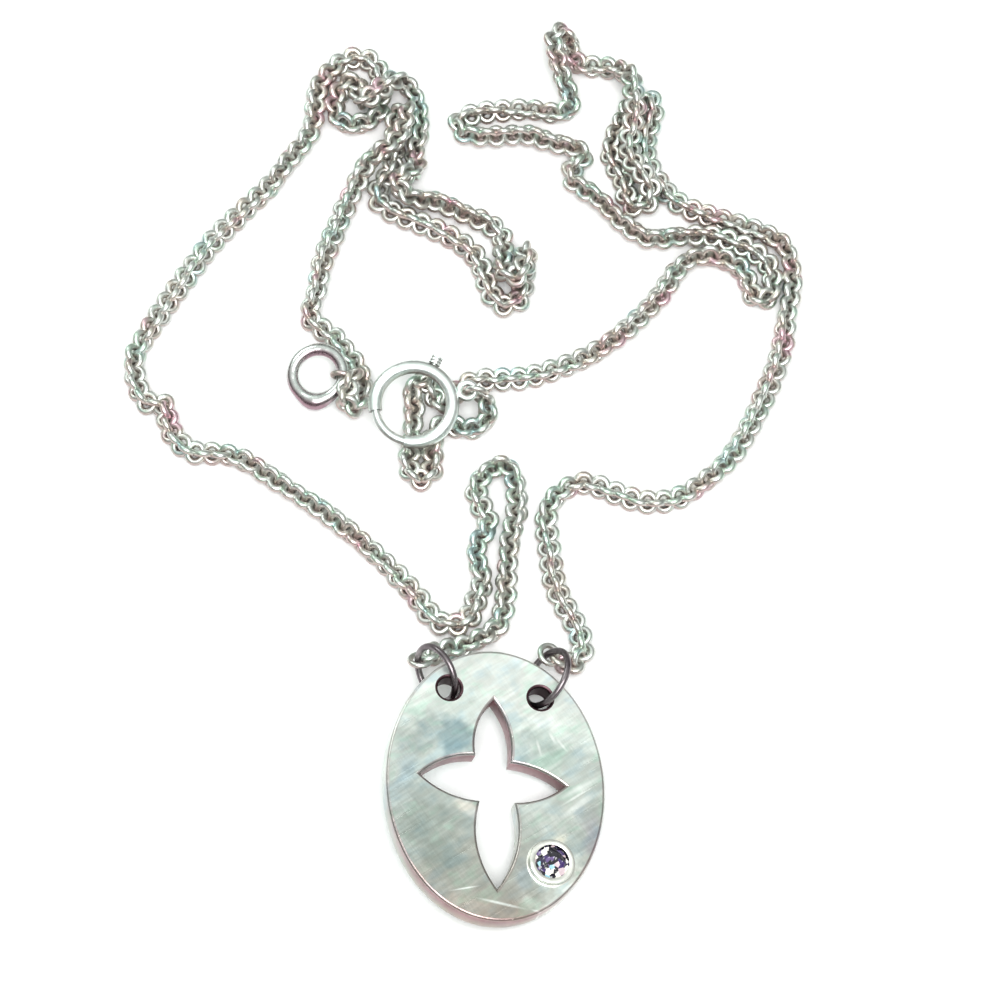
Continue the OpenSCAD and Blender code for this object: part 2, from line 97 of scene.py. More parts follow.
RIGHT_ROUTE = [
    (7.2, -15.6, 0.5), (8.1, -15.9, 0.1), (8.8, -15.2, 0), (9, -14.3, 0), (8.6, -13, 0), (7, -9.6, 0),
    (6.6, -7.2, 0), (6.4, -3, 0), (7.4, -1.6, 0), (9.1, -0.8, 0), (12.8, -2.1, 0), (14.6, -2.4, 0),
    (16.8, -1.8, 0), (20.2, 1.1, 0), (21.6, 3.3, 0), (22.8, 5.8, 0), (23.9, 8.4, 0), (24.7, 11, 0),
    (25.1, 13.6, 0), (25.6, 16, 0), (25.6, 18, 0), (25.1, 19.7, 0), (23.7, 20.8, 0), (19.7, 22.3, 0),
    (17.7, 23.1, 0), (16.2, 24.2, 0), (14.5, 27.2, 0), (14.3, 29, 0), (15, 32.2, 0), (14.5, 33.3, 0),
    (13.4, 33, 0), (12.8, 31.6, 0), (11.6, 29, 0), (11.6, 27.7, 0), (12.7, 25.2, 0), (12.8, 24, 0),
    (13.6, 23.1, 0.1), (14.6, 23.7, 0.6), (14.4, 25, 1.3), (13.3, 26.5, 1.4), (13, 28.2, 1.1),
    (13.5, 31.6, 1.6), (13.3, 33.2, 1.7), (13.1, 34.6, 1.3), (12.2, 35.6, 0.4), (10.8, 36.1, 0),
    (9.4, 36.2, 0), (8.5, 37, 0), (8.4, 38.1, 0.2), (7.8, 38.8, 0.8), (7.1, 38, 1.3), (7.6, 35, 1.3),
    (8.4, 32.4, 0), (7.2, 31.8, 0), (5, 32.1, 0), (1, 31.8, 0), (-0.4, 31.2, 0), (-0.5, 30.2, 0),
    (0.8, 29.7, 0), (5, 29.8, 0), (6.6, 29.2, 0), (9.3, 28.1, 0), (8.3, 26, 0), (10.4, 24.1, 0),
    (13, 21.3, 0), (14.6, 20.4, 0), (16.6, 20.6, 0), (18.6, 20.7, 0.1), (20.4, 20.3, 0.2),
    (22.1, 19.6, 0.1), (23.3, 18.7, 0), (24, 17.6, 0), (24, 16.3, 0), (23.7, 15.2, 0), (22.7, 15.2, 0),
    (21.8, 17.5, 0), (20.7, 18.4, 0), (19.2, 18.9, 0), (17.7, 18.6, 0), (16.6, 17.6, 0),
    (15.4, 15.6, 0), (13.9, 13.8, 0), (11.9, 11.8, 0), (9.6, 10.1, 0), (7.2, 9, 0), (4.6, 8.2, 0),
    (0.8, 7.9, 0), (-0.7, 6.9, 0), (-1.9, 5.8, 0.1), (-2.4, 6.8, 0.6), (-3.1, 7.5, 1.2),
    (-3.95, 6.9, 0.9), (-3.85, 5.4, 0.2), (-4.05, 3, 0), (-4.2, 0.6, 0), (-3.7, -0.4, 0),
    (-2.8, -0.3, 0), (-2.4, 0.6, 0), (-2.4, 3.1, 0), (-1.7, 4.1, 0), (0.6, 3.8, 0), (1.5, 4.3, 0.1),
    (1.85, 5.1, 0.65), (1.4, 5.88, 1.39),
]

# Each end link: its centre, its normal and its diameter
LINK_AT_LEFT_JUMP = (Vector((-3.23, -16.13, 2.36)), Vector((0.05, 0.55, 0.83)), END_LINK_D)
LINK_AT_RIGHT_JUMP = (Vector((6.43, -15.38, 1.64)), Vector((0.43, 0.05, 0.9)), END_LINK_D)
LINK_AT_END_RING = (Vector((-9.32, 8.04, 1.4)), Vector((0.14, 0.97, 0.2)), RING_LINK_D)
LINK_AT_CLASP = (Vector((0.97, 5.94, 2.75)), Vector((0.14, 0.99, 0)), END_LINK_D)

# End ring, as in the source
END_RING_CENTRE = Vector((-11.33, 8.33, 1.16))
END_RING_D = 3.95
END_RING_WIRE = 0.95
END_RING_TILT = 12
END_RING_LEAN = 8
SOLDER_AT = 262
SOLDER_REACH = 45
SOLDER_SWELL = 0.2
END_RING_STEPS = 120
END_RING_SIDES = 32

# Plate and stone, as in the source, apart from the rounded edges. A corner of an outline or of the
# bezel's profile looks sharp where the cosine between its sides is below the value given. The upper
# edges get the walls' painted shade, held between a least and a most.
PLATE_W = 16.4
PLATE_H = 20.9
PLATE_T = 1.8
HOLE_D = 1.7
HOLES = [(-3.45, 7.3), (3.42, 6.95)]
PLATE_CENTRE = Vector((2.29, -26.43, 2.62))
PLATE_PITCH = 2
PLATE_LEAN = 12
PLATE_TURN = 1.1
OVAL_SIDES = 192
HOLE_SIDES = 48
ARC_STEPS = 14
EDGE_ROUND = 0.22
EDGE_STEPS = 5
EDGE_SHADE = (0.3, 0.5)
SHARP_BELOW = 0.9
TIP_TOP = (-0.1, 6.6)
TIP_RIGHT = (5.2, 0.2)
TIP_BOTTOM = (0, -8)
TIP_LEFT = (-5.65, 0.5)
CORNER_UPPER_LEFT = (-1.5, 2.2)
CORNER_UPPER_RIGHT = (1.1, 1.75)
CORNER_LOWER_RIGHT = (1.4, -1.3)
CORNER_LOWER_LEFT = (-1.2, -1.3)
BULGE_TOP = 0.55
BULGE_RIGHT = 0.35
BULGE_BOTTOM = 0.82
BULGE_LEFT = 0.45
STONE_D = 2.7
STONE_CENTRE = (4, -5.85)
STONE_GAP = 0.04
SEAT_R = STONE_D / 2 + STONE_GAP
BEZEL_D = 3.4
BEZEL_H = 0.5
BEZEL_SIDES = 48
BEZEL_SHARP_BELOW = 0.75

# Floor
FLOOR_HALF = 1.5
FLOOR_DROP = 0.00003

# The sides that get painted shade and pinkish painted reflection on the chain and the end ring, and painted
# shade on the clasp
CHAIN_UNDERSIDE = Vector((-0.35, -0.8, -0.4))
RING_UNDERSIDE = Vector((-0.3, -0.95, 0))
CLASP_SHADED = (-0.4, -0.9, -0.15)


# Camera and light

def make_camera():
    tilt = math.radians(90 - CAMERA_ELEVATION)
    away = Vector((0, -math.sin(tilt), math.cos(tilt)))
    data = bpy.data.cameras.new("camera")
    data.sensor_width = SENSOR_WIDTH
    data.lens = CAMERA_DISTANCE / (MM_PER_PIXEL * IMAGE_WIDTH) * SENSOR_WIDTH
    data.clip_start = 0.01
    camera = bpy.data.objects.new("camera", data)
    camera.location = (CAMERA_TARGET + CAMERA_DISTANCE * away) * MM
    camera.rotation_euler = (tilt, 0, 0)
    bpy.context.scene.collection.objects.link(camera)
    bpy.context.scene.camera = camera


def soft_light(name, place, aim, size, power, colour):
    """An area light of a width and height in metres, aimed at a point."""
    data = bpy.data.lights.new(name, "AREA")
    data.shape = "RECTANGLE"
    data.size, data.size_y = size
    data.energy = power
    data.color = colour
    light = bpy.data.objects.new(name, data)
    light.location = place
    light.rotation_euler = (Vector(aim) - Vector(place)).to_track_quat("-Z", "Y").to_euler()
    bpy.context.scene.collection.objects.link(light)


def make_lights():
    world = bpy.data.worlds.new("world")
    world.use_nodes = True
    tree = world.node_tree
    direction = tree.nodes.new("ShaderNodeTexCoord").outputs["Generated"]
    split = tree.nodes.new("ShaderNodeSeparateXYZ")
    tree.links.new(direction, split.inputs["Vector"])
    sky = ramp(tree, split.outputs["Z"], [(0, (0.06, 0.05, 0.05)), (0.35, (0.25, 0.24, 0.24)),
                                          (0.75, (0.72, 0.76, 0.73)), (1, (0.85, 0.88, 0.86))])
    tree.links.new(sky, tree.nodes["Background"].inputs["Color"])
    bpy.context.scene.world = world
    soft_light("front_top", (0.03, -0.22, 0.5), (0, 0, 0), (0.34, 0.34), 2.9, (1, 1, 1))
    soft_light("back_left", (-0.35, 0.35, 0.4), (0, 0, 0), (0.25, 0.25), 0.9, (0.92, 1, 0.96))


# Materials

# Stains, painted highlights and painted shade of the plate's face: place, half sizes, turn, colour and how
# strong, in millimetres and degrees
FACE_STAINS_AND_PAINTED_LIGHT = [
    # A broad painted highlight, pale, over the right half
    ((6.6, -28.4), (5.5, 9), 10, (0.84, 0.90, 0.86), 0.55),
    # Painted highlight, mint, at the bezel's lower right
    ((7.4, -35.6), (3.6, 2.6), 40, (0.93, 1, 0.95), 1),
    # Stains
    ((-0.8, -24.6), (3, 2.7), 20, (0.32, 0.45, 0.48), 0.85),
    ((6.3, -24.8), (2.4, 2.8), 0, (0.52, 0.66, 0.61), 0.6),
    ((-4.4, -27.6), (1.5, 2.8), 0, (0.50, 0.60, 0.64), 0.7),
    ((4.4, -24.8), (1.4, 2.4), 15, (0.44, 0.58, 0.60), 0.6),
    ((-1.9, -32.6), (2.6, 4), 25, (0.35, 0.41, 0.38), 0.8),
    ((0.5, -29.8), (1.6, 0.8), -25, (0.95, 0.93, 0.86), 0.85),
    ((9.6, -31.2), (1.3, 3), 10, (0.42, 0.42, 0.46), 0.75),
    # Painted shade beside the bezel's left
    ((4.4, -34.4), (1.4, 2), 0, (0.44, 0.47, 0.47), 0.6),
    # A brown stain at the bottom
    ((2, -37.6), (4.6, 1.5), -8, (0.42, 0.36, 0.31), 0.7),
    # Painted highlight, cream, at the bezel's top
    ((7.1, -31.7), (1.5, 0.8), 0, (1, 0.96, 0.82), 0.9)]

# Scratches of the plate's face: place, half sizes and turn
SCRATCHES = [
    ((8.7, -27.52), (2.3, 0.34), 31.9), ((8.45, -28.96), (2.3, 0.34), 40.3),
    ((8.3, -28.3), (1.6, 0.14), 36), ((2.86, -36.86), (2.2, 0.16), -9.4),
    ((5.6, -37.3), (0.8, 0.14), -13), ((6.6, -23.78), (0.7, 0.2), -62.8),
    ((7.3, -24.3), (0.8, 0.16), -50), ((5.6, -24.6), (0.9, 0.16), -75), ((0.2, -35.9), (1.4, 0.1), 14)]

# How the plate's tone rises to its upper end as a painted reflection, and the turns of its brushing and its
# long scratches
TONES_PER_METRE = 45
TONE_AT_ORIGIN = 1.77
BRUSHED_AT = 38
CROSS_BRUSHED_AT = -55
SCRATCHED_AT = 36


def spot(tree, coords, place, half, turn, edge, ragged=None):
    """How far a point lies in a soft or ragged oval spot."""
    mapping = tree.nodes.new("ShaderNodeMapping")
    mapping.vector_type = "TEXTURE"
    mapping.inputs["Location"].default_value = (place[0] * MM, place[1] * MM, 0)
    mapping.inputs["Rotation"].default_value = (0, 0, math.radians(turn))
    mapping.inputs["Scale"].default_value = (half[0] * MM, half[1] * MM, 1)
    tree.links.new(coords, mapping.inputs["Vector"])
    length = tree.nodes.new("ShaderNodeVectorMath")
    length.operation = "LENGTH"
    tree.links.new(mapping.outputs["Vector"], length.inputs[0])
    away = length.outputs["Value"]
    if ragged:
        away = maths(tree, "ADD", away, ragged)
    reach = tree.nodes.new("ShaderNodeMapRange")
    reach.interpolation_type = "SMOOTHSTEP"
    for name, value in (("From Min", 1), ("From Max", edge), ("To Min", 0), ("To Max", 1)):
        reach.inputs[name].default_value = value
    tree.links.new(away, reach.inputs["Value"])
    return reach.outputs["Result"]


def new_material(name):
    material = bpy.data.materials.new(name)
    material.use_nodes = True
    tree = material.node_tree
    return material, tree, tree.nodes["Principled BSDF"]


def noise(tree, coords, scale, stretch=(1, 1, 1), turn=0, detail=4):
    """Noise in cycles a metre, squeezed along its axes, which are turned first."""
    mapping = tree.nodes.new("ShaderNodeMapping")
    mapping.vector_type = "TEXTURE"
    mapping.inputs["Scale"].default_value = [1 / s for s in stretch]
    mapping.inputs["Rotation"].default_value = (0, 0, math.radians(turn))
    tree.links.new(coords, mapping.inputs["Vector"])
    node = tree.nodes.new("ShaderNodeTexNoise")
    node.inputs["Scale"].default_value = scale
    node.inputs["Detail"].default_value = detail
    tree.links.new(mapping.outputs["Vector"], node.inputs["Vector"])
    return node.outputs["Fac"]


def ramp(tree, value, stops):
    """A colour ramp through (position, colour) stops."""
    node = tree.nodes.new("ShaderNodeValToRGB")
    elements = node.color_ramp.elements
    while len(elements) < len(stops):
        elements.new(0.5)
    for element, (position, colour) in zip(elements, stops):
        element.position = position
        element.color = (*colour, 1)
    tree.links.new(value, node.inputs["Fac"])
    return node.outputs["Color"]


def grey(value):
    return (value, value, value)


def bump(tree, height, strength, distance, before=None):
    node = tree.nodes.new("ShaderNodeBump")
    node.inputs["Strength"].default_value = strength
    node.inputs["Distance"].default_value = distance
    tree.links.new(height, node.inputs["Height"])
    if before:
        tree.links.new(before, node.inputs["Normal"])
    return node.outputs["Normal"]


def object_coords(tree):
    return tree.nodes.new("ShaderNodeTexCoord").outputs["Object"]


def attribute(tree, name):
    node = tree.nodes.new("ShaderNodeAttribute")
    node.attribute_name = name
    return node.outputs["Fac"]


def mixed(tree, factor, low, high, kind="MIX"):
    """Two colours, each linked or a constant, blended by a linked or constant factor."""
    node = tree.nodes.new("ShaderNodeMix")
    node.data_type = "RGBA"
    node.blend_type = kind
    for name, value in (("Factor", factor), ("A", low), ("B", high)):
        socket = node.inputs[[i for i, s in enumerate(node.inputs) if s.name == name and s.enabled][0]]
        if isinstance(value, bpy.types.NodeSocket):
            tree.links.new(value, socket)
        else:
            socket.default_value = (*value, 1) if isinstance(value, tuple) else value
    return [s for s in node.outputs if s.enabled][0]


def maths(tree, operation, a, b):
    node = tree.nodes.new("ShaderNodeMath")
    node.operation = operation
    for socket, value in zip(node.inputs, (a, b)):
        if isinstance(value, bpy.types.NodeSocket):
            tree.links.new(value, socket)
        else:
            socket.default_value = value
    return node.outputs["Value"]


def wire_silver(name, dark, light, polish, under=None, shaded=None):
    """Worn silver wire with dents; where given, painted shade and reflection by its under attribute and
    painted shade on its shaded side.
    """
    material, tree, shader = new_material(name)
    coords = object_coords(tree)
    shader.inputs["Metallic"].default_value = 1
    tone = ramp(tree, noise(tree, coords, 800), [(0.35, dark), (0.65, light)])
    # Painted shade and reflection in the under colour, by the under attribute
    if under:
        tone = mixed(tree, attribute(tree, "under"), tone, under)
    # Painted shade, dark brown, on the side facing the shaded direction
    if shaded:
        facing_it = tree.nodes.new("ShaderNodeVectorMath")
        facing_it.operation = "DOT_PRODUCT"
        facing_it.inputs[1].default_value = shaded
        tree.links.new(tree.nodes.new("ShaderNodeTexCoord").outputs["Normal"], facing_it.inputs[0])
        painted_mark = ramp(tree, facing_it.outputs["Value"], [(0.55, grey(0)), (0.85, grey(0.9))])
        tone = mixed(tree, painted_mark, tone, (0.17, 0.14, 0.13))
    tree.links.new(tone, shader.inputs["Base Color"])
    roughness = ramp(tree, noise(tree, coords, 2500), [(0.3, grey(polish[0])), (0.7, grey(polish[1]))])
    tree.links.new(roughness, shader.inputs["Roughness"])
    tree.links.new(bump(tree, noise(tree, coords, 1500), 0.3, 0.0001), shader.inputs["Normal"])
    return material


def chain_silver():
    """Silver links with green and pink tarnish, painted shade on their inner sides and painted brown shade
    and pinkish reflection underneath.
    """
    material, tree, shader = new_material("chain_silver")
    coords = object_coords(tree)
    shader.inputs["Metallic"].default_value = 1
    patches = ramp(tree, noise(tree, coords, 420, detail=2), [
        (0.32, (0.68, 0.48, 0.53)), (0.40, (0.63, 0.59, 0.52)), (0.47, (0.68, 0.71, 0.66)),
        (0.54, (0.68, 0.72, 0.69)), (0.60, (0.58, 0.71, 0.60)), (0.70, (0.52, 0.68, 0.68))])
    # Painted shade and pinkish reflection on the sides facing down and towards the front
    tone = mixed(tree, attribute(tree, "under"), patches, (0.48, 0.36, 0.34))
    # Painted shade on the links' inner sides, between the links
    tone = mixed(tree, attribute(tree, "inner"), tone, (0.55, 0.52, 0.49))
    tree.links.new(tone, shader.inputs["Base Color"])
    polish = ramp(tree, noise(tree, coords, 2500), [(0.3, grey(0.27)), (0.7, grey(0.48))])
    tree.links.new(polish, shader.inputs["Roughness"])
    tree.links.new(bump(tree, noise(tree, coords, 2200), 0.3, 0.0001), shader.inputs["Normal"])
    return material


def plate_silver():
    """Scratched silver with blotches, stains and brushing, a painted reflection that pales its upper end
    over a greyer lower end, painted highlights and shade in spots, and painted brown shade on its walls and
    holes.
    """
    material, tree, shader = new_material("plate_silver")
    coords = object_coords(tree)
    shader.inputs["Metallic"].default_value = 1
    split = tree.nodes.new("ShaderNodeSeparateXYZ")
    tree.links.new(coords, split.inputs["Vector"])
    blotches = noise(tree, coords, 260)
    # Painted reflection: the tone rises towards the plate's upper end, made uneven by blotches
    height = maths(tree, "MULTIPLY_ADD", split.outputs["Y"], TONES_PER_METRE)
    height.node.inputs[2].default_value = TONE_AT_ORIGIN
    uneven = maths(tree, "MULTIPLY", maths(tree, "SUBTRACT", blotches, 0.5), 0.7)
    height = maths(tree, "ADD", height, uneven)
    tone = ramp(tree, height, [
        (0, (0.48, 0.44, 0.40)), (0.2, (0.47, 0.49, 0.45)), (0.42, (0.50, 0.56, 0.53)),
        (0.62, (0.67, 0.74, 0.71)), (0.76, (0.89, 0.98, 0.94)), (0.86, (0.94, 1, 0.97))])
    ragged = maths(tree, "MULTIPLY", maths(tree, "SUBTRACT", noise(tree, coords, 520), 0.5), 2.2)
    # Stains, painted highlights and painted shade as soft spots
    for place, half, turn, colour, strength in FACE_STAINS_AND_PAINTED_LIGHT:
        inside = spot(tree, coords, place, half, turn, 0.05, ragged)
        tone = mixed(tree, maths(tree, "MULTIPLY", inside, strength), tone, colour)
    cast = ramp(tree, noise(tree, coords, 480, (1, 1.6, 1), 30, 3), [
        (0.34, (0.86, 0.92, 0.96)), (0.46, (0.98, 0.98, 0.97)),
        (0.54, (1, 0.97, 0.95)), (0.66, (0.90, 1, 0.93))])
    tone = mixed(tree, 1.0, tone, cast, "MULTIPLY")
    brushing = noise(tree, coords, 420, (1, 9, 1), BRUSHED_AT, 5)
    cross_brushing = noise(tree, coords, 380, (1, 14, 1), CROSS_BRUSHED_AT, 5)
    streaks = ramp(tree, brushing, [(0.35, grey(0.91)), (0.65, grey(1.0))])
    tone = mixed(tree, 1.0, tone, streaks, "MULTIPLY")
    for place, half, turn in SCRATCHES:
        inside = spot(tree, coords, place, half, turn, 0.1)
        tone = mixed(tree, maths(tree, "MULTIPLY", inside, 0.85), tone, (0.94, 0.98, 0.94))
    cream = ramp(tree, noise(tree, coords, 900), [(0.4, (0.78, 0.79, 0.73)), (0.6, (0.96, 0.96, 0.90))])
    tone = mixed(tree, attribute(tree, "bezel"), tone, cream)
    # Painted shade, dark pinkish-brown, on the walls and their rounded upper edges, and darker in the
    # drilled holes
    painted_wall_shade = ramp(tree, noise(tree, coords, 600), [(0.35, (0.22, 0.11, 0.12)), (0.65, (0.35, 0.18, 0.20))])
    tone = mixed(tree, attribute(tree, "wall"), tone, painted_wall_shade)
    tone = mixed(tree, attribute(tree, "bore"), tone, (0.10, 0.055, 0.065))
    tree.links.new(tone, shader.inputs["Base Color"])
    polish = ramp(tree, brushing, [(0.3, grey(0.30)), (0.7, grey(0.42))])
    tree.links.new(polish, shader.inputs["Roughness"])
    scratches = ramp(tree, noise(tree, coords, 150, (1, 40, 1), SCRATCHED_AT, 2),
                     [(0.66, grey(0)), (0.70, grey(1))])
    normal = bump(tree, noise(tree, coords, 330, detail=2), 0.3, 0.0004)
    normal = bump(tree, brushing, 0.12, 0.00008, normal)
    normal = bump(tree, cross_brushing, 0.1, 0.00006, normal)
    normal = bump(tree, scratches, 0.3, 0.00003, normal)
    tree.links.new(normal, shader.inputs["Normal"])
    return material


def violet_stone():
    """A dark violet cut stone, with black, blue and white glints painted on its facets as cells of colour.
    """
    material, tree, shader = new_material("violet_stone")
    coords = object_coords(tree)
    cells = tree.nodes.new("ShaderNodeTexVoronoi")
    cells.inputs["Scale"].default_value = 3000
    tree.links.new(coords, cells.inputs["Vector"])
    split = tree.nodes.new("ShaderNodeSeparateColor")
    tree.links.new(cells.outputs["Color"], split.inputs["Color"])
    # The stone's own dark violet, with painted glints in its cyan, pink and cream-white cells
    colour_and_painted_glints = ramp(tree, split.outputs["Red"], [
        (0, (0.006, 0.004, 0.012)), (0.40, (0.02, 0.01, 0.05)), (0.54, (0.05, 0.025, 0.13)),
        (0.66, (0.14, 0.09, 0.24)), (0.72, (0.35, 0.62, 0.72)), (0.75, (0.70, 0.56, 0.60)),
        (0.83, (1, 0.97, 0.90))])
    colour_and_painted_glints.node.color_ramp.interpolation = "CONSTANT"
    tree.links.new(colour_and_painted_glints, shader.inputs["Base Color"])
    tree.links.new(bump(tree, cells.outputs["Distance"], 0.4, 0.0002), shader.inputs["Normal"])
    shader.inputs["Roughness"].default_value = 0.03
    shader.inputs["IOR"].default_value = 1.76
    return material


def floor_white():
    material, tree, shader = new_material("floor_white")
    coords = object_coords(tree)
    tone = ramp(tree, noise(tree, coords, 8), [(0.3, grey(0.92)), (0.7, grey(0.94))])
    tree.links.new(tone, shader.inputs["Base Color"])
    shader.inputs["Roughness"].default_value = 0.7
    shader.inputs["Specular IOR Level"].default_value = 0.2
    return material


# Chain

def spline(points):
    """A smooth curve through the points, as closely spaced points."""
    ends = [2 * points[0] - points[1]] + points + [2 * points[-1] - points[-2]]
    out = []
    for p0, p1, p2, p3 in zip(ends, ends[1:], ends[2:], ends[3:]):
        t1 = (p1 - p0).length ** 0.5
        t2 = t1 + (p2 - p1).length ** 0.5
        t3 = t2 + (p3 - p2).length ** 0.5
        count = max(2, int((p2 - p1).length / ROUTE_STEP))
        for i in range(count):
            t = t1 + (t2 - t1) * i / count
            a1 = p0.lerp(p1, t / t1)
            a2 = p1.lerp(p2, (t - t1) / (t2 - t1))
            a3 = p2.lerp(p3, (t - t2) / (t3 - t2))
            b1 = a1.lerp(a2, t / t2)
            b2 = a2.lerp(a3, (t - t1) / (t3 - t1))
            out.append(b1.lerp(b2, (t - t1) / (t2 - t1)))
    out.append(points[-1])
    return out


def lengths(curve):
    total = [0]
    for a, b in zip(curve, curve[1:]):
        total.append(total[-1] + (b - a).length)
    return total


def at_length(curve, total, s):
    """The point at a length along the curve."""
    low, high = 0, len(total) - 1
    while high - low > 1:
        mid = (low + high) // 2
        if total[mid] <= s:
            low = mid
        else:
            high = mid
    t = (s - total[low]) / (total[high] - total[low])
    return curve[low].lerp(curve[high], t)


def tube_faces(steps, sides):
    """Faces of a closed tube whose points run round it, ring after ring."""
    faces = []
    for i in range(steps):
        for k in range(sides):
            j, m = (i + 1) % steps, (k + 1) % sides
            faces.append((i * sides + k, j * sides + k, j * sides + m, i * sides + m))
    return faces


def link_shape(length, width, wire, steps):
    """An oval link of round wire, long along X: points, faces and how far each point faces inwards."""
    a = (length - wire) / 2
    b = (width - wire) / 2
    points, inner = [], []
    for i in range(steps):
        u = 2 * math.pi * i / steps
        centre = Vector((a * math.cos(u), b * math.sin(u), 0))
        out = Vector((b * math.cos(u), a * math.sin(u), 0)).normalized()
        for k in range(WIRE_SIDES):
            v = 2 * math.pi * k / WIRE_SIDES
            points.append(centre + wire / 2 * (math.cos(v) * out + math.sin(v) * Vector((0, 0, 1))))
            inner.append(max(0, 0.15 - math.cos(v)) / 1.15)
    return points, tube_faces(steps, WIRE_SIDES), inner


def mark_under(mesh, side):
    """The under attribute: how far each point faces the side given for painted shade and reflection."""
    values = [max(0, min(1, 1.6 * vertex.normal.dot(side) - 0.15)) for vertex in mesh.vertices]
    mesh.attributes.new("under", "FLOAT", "POINT").data.foreach_set("value", values)


def add_piece(name, mesh, material, body):
    """A mesh as a piece of a body, with its material."""
    mesh.materials.append(material)
    piece = bpy.data.objects.new(name, mesh)
    bpy.context.scene.collection.objects.link(piece)
    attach(piece, body)
    return piece


class Joined:
    """Collects many placed shapes as one mesh."""

    def __init__(self):
        self.points, self.faces, self.inner = [], [], []

    def add(self, shape, place):
        points, faces, inner = shape
        first = len(self.points)
        self.points += [(place @ p) * MM for p in points]
        self.faces += [tuple(first + i for i in face) for face in faces]
        self.inner += inner

    def add_on_floor(self, shape, place):
        """Adds a shape, lifted where it would reach into the floor."""
        lowest = min((place @ p).z for p in shape[0])
        self.add(shape, Matrix.Translation((0, 0, max(0, -lowest))) @ place)

    def piece(self, name, material, slot, body, shaded_side):
        mesh = bpy.data.meshes.new(name)
        mesh.from_pydata(self.points, [], self.faces)
        mesh.attributes.new("inner", "FLOAT", "POINT").data.foreach_set("value", self.inner)
        mark_under(mesh, shaded_side)
        mesh.polygons.foreach_set("use_smooth", [True] * len(mesh.polygons))
        return add_piece(name, mesh, material, body)


def facing(centre, along, normal):
    """The place of a shape whose X runs along and whose Z is near the normal."""
    x = along.normalized()
    y = normal.cross(x).normalized()
    z = x.cross(y)
    return Matrix.Translation(centre) @ Matrix((x, y, z)).transposed().to_4x4()


def chain_half(name, route, first_link, last_link, seed, material):
    """Links along a route, interlocked with a round link at each end."""
    wobble = random.Random(seed)
    lift = Vector((0, 0, LINK_LIFT)) - MIDDLE
    start, end = first_link[0] - MIDDLE, last_link[0] - MIDDLE
    points = [start] + [Vector(p) + lift for p in route] + [end]
    curve = spline(points)
    total = lengths(curve)
    reach = (LINK_LENGTH - END_LINK_WIRE) / 2 - LINK_WIRE
    first, last = first_link[2] / 2 + reach, total[-1] - last_link[2] / 2 - reach
    count = round((last - first) / LINK_PITCH)
    places = [at_length(curve, total, first + (last - first) * i / count) for i in range(count + 1)]
    joined = Joined()
    oval = link_shape(LINK_LENGTH, LINK_WIDTH, LINK_WIRE, LINK_STEPS)
    up = Vector((0, 0, 1))
    ends = [start] + places + [end]
    for i, place in enumerate(places):
        along = (ends[i + 2] - ends[i]).normalized()
        up = (up - along * up.dot(along)).normalized()
        side = 1 if i % 2 else -1
        twist = TWIST * math.sin(2 * math.pi * i / TWIST_LENGTH)
        roll = side * LINK_ROLL + twist + wobble.uniform(-ROLL_WOBBLE, ROLL_WOBBLE)
        normal = Matrix.Rotation(math.radians(roll), 3, along) @ up
        joined.add_on_floor(oval, facing(place, along, normal))
    for (centre, normal, across), towards in ((first_link, places[0]), (last_link, places[-1])):
        outer = across + END_LINK_WIRE
        round_link = link_shape(outer, outer, END_LINK_WIRE, END_LINK_STEPS)
        centre = centre - MIDDLE
        along = towards - centre
        along -= normal.normalized() * along.dot(normal.normalized())
        joined.add(round_link, facing(centre, along, normal))
    piece = joined.piece(name + "_links", material, "chain_silver", "necklace", CHAIN_UNDERSIDE)
    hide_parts(name)


# Plate

def bulged(a, b, bulge):
    """Points of a shallow arc from a to b that bulges to the left of that direction."""
    a, b = Vector(a), Vector(b)
    along = b - a
    out = Vector((-along.y, along.x)).normalized()
    steps = [i / ARC_STEPS for i in range(ARC_STEPS)]
    return [a + along * t + out * bulge * 4 * t * (1 - t) for t in steps]


def cross_outline():
    """The cross's outline, clockwise as seen from above."""
    points = []
    for before, tip, after, bulge in ((CORNER_UPPER_RIGHT, TIP_RIGHT, CORNER_LOWER_RIGHT, BULGE_RIGHT),
                                      (CORNER_LOWER_RIGHT, TIP_BOTTOM, CORNER_LOWER_LEFT, BULGE_BOTTOM),
                                      (CORNER_LOWER_LEFT, TIP_LEFT, CORNER_UPPER_LEFT, BULGE_LEFT),
                                      (CORNER_UPPER_LEFT, TIP_TOP, CORNER_UPPER_RIGHT, BULGE_TOP)):
        points += bulged(before, tip, bulge) + bulged(tip, after, bulge)
    return points


def oval_outline(centre, width, height, sides, turn):
    """An oval's outline, anticlockwise for a turn of 1 and clockwise for -1."""
    angles = [turn * 2 * math.pi * i / sides for i in range(sides)]
    return [Vector(centre) + Vector((width / 2 * math.cos(a), height / 2 * math.sin(a))) for a in angles]


